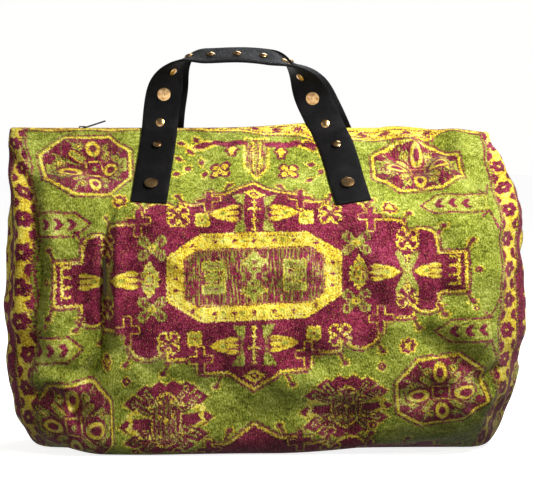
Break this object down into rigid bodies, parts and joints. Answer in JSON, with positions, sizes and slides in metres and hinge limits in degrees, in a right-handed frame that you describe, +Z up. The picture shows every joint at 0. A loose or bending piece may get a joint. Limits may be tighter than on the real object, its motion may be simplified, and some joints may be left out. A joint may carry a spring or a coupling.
{
  "type": "carpet bag",
  "caption": "Soft boxy carpet holdall in patterned pile fabric, with a zipped top and two studded black strap handles.",
  "frame": {"origin": "middle of the base, on the surface the bag stands on", "axes": "+X along the bag, -Y towards its front, +Z up"},
  "size_m": [0.532, 0.222, 0.4271],
  "materials": {
    "carpet": "cut pile carpet in olive, maroon and yellow",
    "zip_cloth": "woven black tape",
    "zip_nylon": "black nylon coil",
    "zip_metal": "black enamel",
    "pull_black": "satin black",
    "strap_leather": "matt black hide",
    "stud_brass": "polished, slightly tarnished"
  },
  "bodies": {
    "bag": {"carpet_body": "carpet", "zip_tape_front": "zip_cloth", "zip_tape_rear": "zip_cloth", "zip_coil_front": "zip_nylon", "zip_coil_rear": "zip_nylon", "zip_end_stops": "zip_metal", "front_strap_end_left": "strap_leather", "front_strap_end_right": "strap_leather", "front_sewn_studs": "stud_brass", "front_sewn_backs": "stud_brass", "rear_strap_end_left": "strap_leather", "rear_strap_end_right": "strap_leather", "rear_sewn_studs": "stud_brass", "rear_sewn_backs": "stud_brass"},
    "front_handle": {"front_handle_strap": "strap_leather", "front_large_studs": "stud_brass", "front_small_studs": "stud_brass", "front_stud_backs": "stud_brass"},
    "rear_handle": {"rear_handle_strap": "strap_leather", "rear_large_studs": "stud_brass", "rear_small_studs": "stud_brass", "rear_stud_backs": "stud_brass"},
    "slider": {"zip_slider": "zip_metal"},
    "pull": {"zip_pull": "pull_black"}
  },
  "joints": [
    {"name": "front_handle_fold", "type": "hinge", "parent": "bag", "child": "front_handle", "pos_m": [0, -0.02732, 0.33023], "axis": [1, 0, 0], "range_deg": [0, 110]},
    {"name": "rear_handle_fold", "type": "hinge", "parent": "bag", "child": "rear_handle", "pos_m": [0, 0.02732, 0.33023], "axis": [-1, 0, 0], "range_deg": [0, 110]},
    {"name": "zip_slide", "type": "slide", "parent": "bag", "child": "slider", "axis": [1, 0, 0], "range_m": [0, 0.384]},
    {"name": "pull_swing", "type": "hinge", "parent": "slider", "child": "pull", "pos_m": [-0.192, 0, 0.3397], "axis": [0, -1, 0], "range_deg": [0, 140]}
  ]
}
